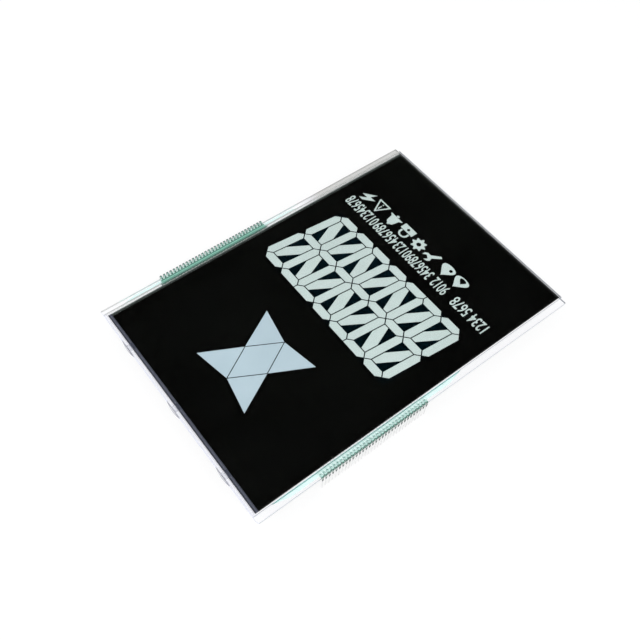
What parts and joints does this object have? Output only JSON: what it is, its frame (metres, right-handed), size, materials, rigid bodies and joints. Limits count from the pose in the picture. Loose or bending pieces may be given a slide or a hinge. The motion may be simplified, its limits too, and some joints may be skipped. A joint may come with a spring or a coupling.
{
  "type": "lcd screen",
  "caption": "Flat custom segment display: two glass plates with a dark cell between them, an arrow sign and a digit lattice, and a row of clip-on pins along part of each long edge.",
  "frame": {"origin": "under the middle of the panel, level with the tips of the pins it stands on", "axes": "+X to the display's right, +Y to its top, the end with the arrow sign and the closed fill ports, +Z out of its viewing face"},
  "size_m": [0.1402, 0.2007, 0.0133],
  "materials": {
    "front_film": "clear grey polarizing film",
    "rear_film": "dark polarizing film",
    "glass": "clear float glass with cut edges",
    "coat": "clear conductive coat",
    "crystal": "dark liquid crystal between the films",
    "arrow": "pale blue-grey switched segments",
    "digits": "pale grey-green switched segments",
    "seal": "grey thermoset seal",
    "dots": "silver-filled resin",
    "plug": "cured clear resin, grey over the dark cell",
    "tracks": "clear conductive tracks",
    "pins": "tin plating on spring bronze",
    "resin": "cured translucent green resin",
    "veil": "thin translucent mint coat"
  },
  "bodies": {
    "root": {"front_polarizer": "front_film", "front_glass": "glass", "common_electrode": "coat", "liquid_crystal": "crystal", "arrow_segments": "arrow", "upright_segments": "digits", "level_segments": "digits", "diagonal_segments": "digits", "perimeter_seal": "seal", "transfer_dots": "dots", "fill_port_plug_left": "plug", "fill_port_plug_middle": "plug", "fill_port_plug_right": "plug", "rear_glass": "glass", "rear_polarizer": "rear_film", "track_pads_left": "tracks", "track_pads_right": "tracks", "contact_pins_left": "pins", "contact_pins_right": "pins", "pin_resin_left": "resin", "pin_resin_right": "resin", "track_coat_left": "veil", "track_coat_right": "veil"}
  },
  "joints": []
}
